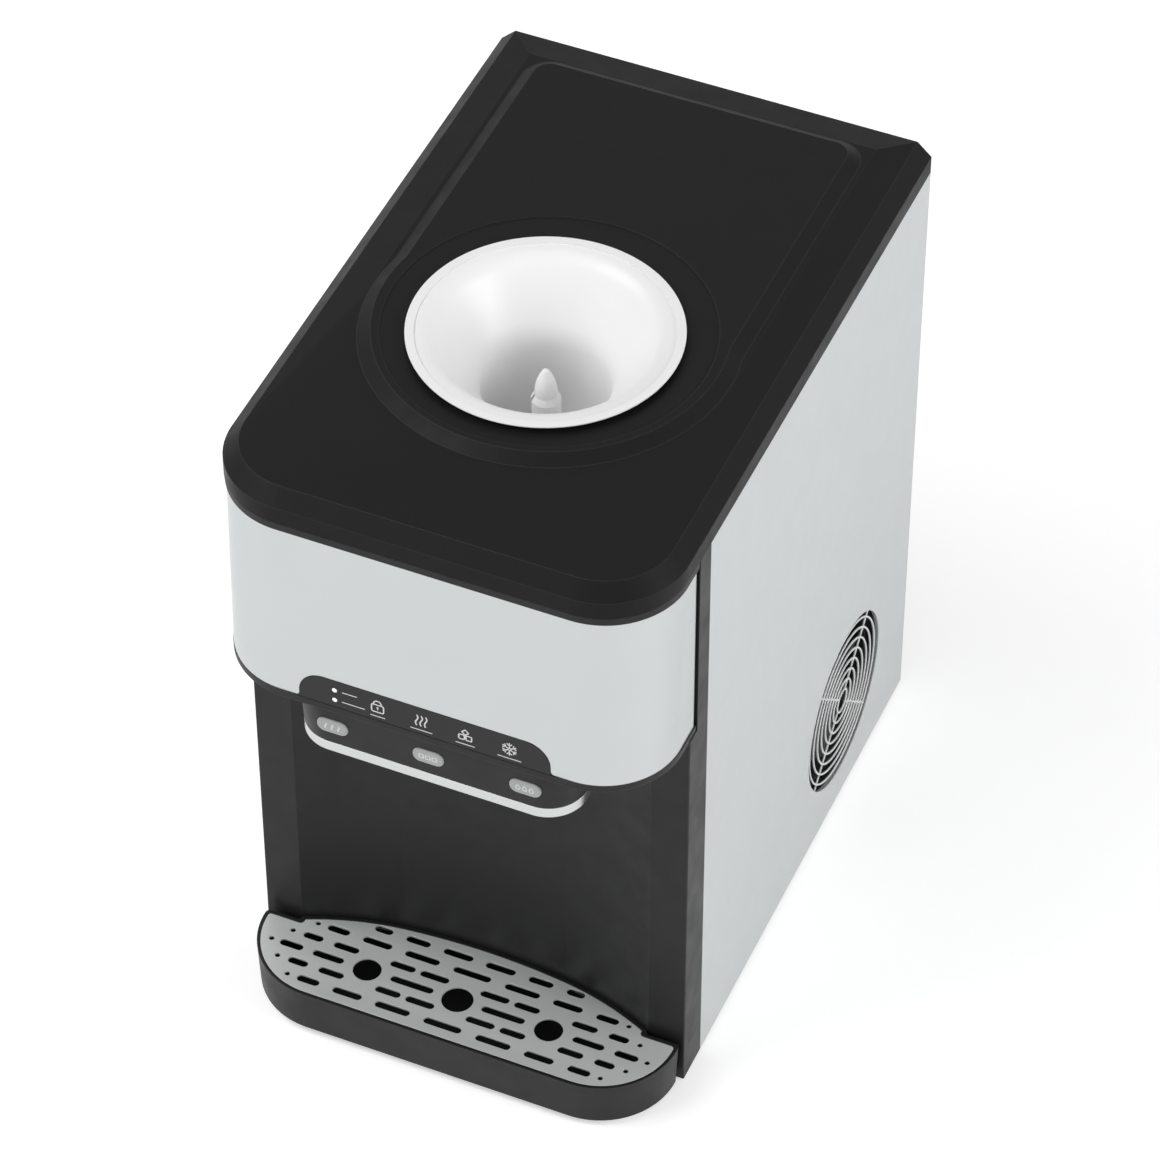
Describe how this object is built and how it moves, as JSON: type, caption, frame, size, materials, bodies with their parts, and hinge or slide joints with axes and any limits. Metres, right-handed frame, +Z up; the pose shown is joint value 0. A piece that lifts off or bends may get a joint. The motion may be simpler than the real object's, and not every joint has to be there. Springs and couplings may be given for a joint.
{
  "type": "ice maker with water dispenser",
  "caption": "Countertop ice maker with hot and cold water outlets, a bottle funnel in its black lid, a steel head band, push buttons and a slotted drip tray.",
  "frame": {"origin": "middle of the outline on the floor", "axes": "+Z up, -Y towards the user, +X to the user's right"},
  "size_m": [0.31, 0.473, 0.5226],
  "materials": {
    "black_plastic": "satin moulded, fine grain",
    "gloss_black": "smooth glossy overlay",
    "steel_band": "fine brushed, satin",
    "bright_trim": "satin bright",
    "side_grey": "smooth pale grey paint",
    "white_plastic": "smooth white",
    "button_grey": "satin grey",
    "grille_metal": "satin grey metal",
    "guard_wire": "pale grey paint",
    "lens": "milky lens",
    "board": "green board",
    "zinc_steel": "zinc plated sheet",
    "rubber": "matt rubber",
    "seal_rubber": "silicone rubber",
    "stainless": "satin stainless",
    "copper": "copper pipe",
    "fins": "mill finish fins",
    "nickel": "nickel plated",
    "compressor_black": "semi gloss black paint",
    "tank_plastic": "milky plastic",
    "foam": "grey foam",
    "hose": "milky silicone hose",
    "fan_plastic": "black moulded plastic",
    "rocker": "glossy black",
    "rocker_red": "glossy red",
    "screw": "nickel plated",
    "brass_coil": "valve body and coil"
  },
  "bodies": {
    "case": {"base_plate": "zinc_steel", "feet": "rubber", "front_frame": "black_plastic", "deck_plate": "zinc_steel", "head_shell": "black_plastic", "head_band": "steel_band", "control_panel": "gloss_black", "control_board": "board", "indicator_lenses": "lens", "nozzle_housing": "black_plastic", "nozzle_trim": "bright_trim", "button_switches": "board", "hot_nozzle": "stainless", "cold_nozzle": "stainless", "ice_duct": "tank_plastic", "flap_pin": "stainless", "lid": "black_plastic", "funnel_seal": "seal_rubber", "left_side_panel": "side_grey", "right_side_panel": "side_grey", "fan_guard": "guard_wire", "rear_panel": "zinc_steel", "rear_screws": "screw", "rocker_housings": "black_plastic", "power_inlet": "black_plastic", "inlet_pins": "nickel", "drain_spout": "tank_plastic", "fan_shroud": "fan_plastic", "fan_motor": "compressor_black", "condenser": "fins", "compressor": "compressor_black", "compressor_mounts": "rubber", "refrigerant_pipes": "copper", "evaporator": "nickel", "ice_maker_frame": "tank_plastic", "tray_motor": "stainless", "ice_bin": "tank_plastic", "auger_motor": "compressor_black", "cold_tank": "tank_plastic", "hot_tank": "stainless", "hot_tank_jacket": "foam", "water_pump": "fan_plastic", "solenoid_valves": "brass_coil", "cold_tubes": "hose", "hot_tubes": "hose", "power_board": "fan_plastic"},
    "hot_button": {"hot_button": "button_grey"},
    "ice_button": {"ice_button": "button_grey"},
    "cold_button": {"cold_button": "button_grey"},
    "ice_flap": {"ice_flap": "black_plastic"},
    "drip_tray": {"drip_tray": "black_plastic"},
    "drip_grille": {"drip_grille": "grille_metal"},
    "funnel": {"bottle_funnel": "white_plastic", "bottle_probe": "white_plastic"},
    "auger": {"auger": "white_plastic"},
    "fan_rotor": {"fan_rotor": "fan_plastic"},
    "water_tray": {"water_tray": "tank_plastic"},
    "power_switch": {"power_switch": "rocker_red"},
    "hot_switch": {"hot_switch": "rocker"},
    "drain_cap": {"drain_cap": "seal_rubber"}
  },
  "joints": [
    {"name": "hot_button_press", "type": "slide", "parent": "case", "child": "hot_button", "axis": [0, 1, 0], "range_m": [0, 0.002], "stiffness_N_per_m": 400},
    {"name": "ice_button_press", "type": "slide", "parent": "case", "child": "ice_button", "axis": [0, 1, 0], "range_m": [0, 0.002], "stiffness_N_per_m": 400},
    {"name": "cold_button_press", "type": "slide", "parent": "case", "child": "cold_button", "axis": [0, 1, 0], "range_m": [0, 0.002], "stiffness_N_per_m": 400},
    {"name": "ice_flap_hinge", "type": "hinge", "parent": "case", "child": "ice_flap", "pos_m": [0, -0.1748, 0.29075], "axis": [1, 0, 0], "range_deg": [0, 70], "stiffness_Nm_per_rad": 0.02, "springref_deg": -17.19},
    {"name": "drip_tray_slide", "type": "slide", "parent": "case", "child": "drip_tray", "axis": [0, -1, 0], "range_m": [0, 0.1]},
    {"name": "drip_grille_lift", "type": "slide", "parent": "drip_tray", "child": "drip_grille", "axis": [0, 0, 1], "range_m": [0, 0.04]},
    {"name": "funnel_lift", "type": "slide", "parent": "case", "child": "funnel", "axis": [0, 0, 1], "range_m": [0, 0.13]},
    {"name": "auger_spin", "type": "hinge", "parent": "case", "child": "auger", "pos_m": [0, 0.0165, 0.3646], "axis": [0, 1, 0], "continuous": true},
    {"name": "fan_spin", "type": "hinge", "parent": "case", "child": "fan_rotor", "pos_m": [0.13, 0.116, 0.095], "axis": [1, 0, 0], "continuous": true},
    {"name": "water_tray_tilt", "type": "hinge", "parent": "case", "child": "water_tray", "pos_m": [0, 0.1605, 0.474], "axis": [1, 0, 0], "range_deg": [0, 65]},
    {"name": "power_switch_rock", "type": "hinge", "parent": "case", "child": "power_switch", "pos_m": [-0.11, 0.2195, 0.42], "axis": [1, 0, 0], "range_deg": [-8, 8]},
    {"name": "hot_switch_rock", "type": "hinge", "parent": "case", "child": "hot_switch", "pos_m": [-0.08, 0.2195, 0.42], "axis": [1, 0, 0], "range_deg": [-8, 8]},
    {"name": "drain_cap_pull", "type": "slide", "parent": "case", "child": "drain_cap", "axis": [0, 1, 0], "range_m": [0, 0.02]}
  ]
}
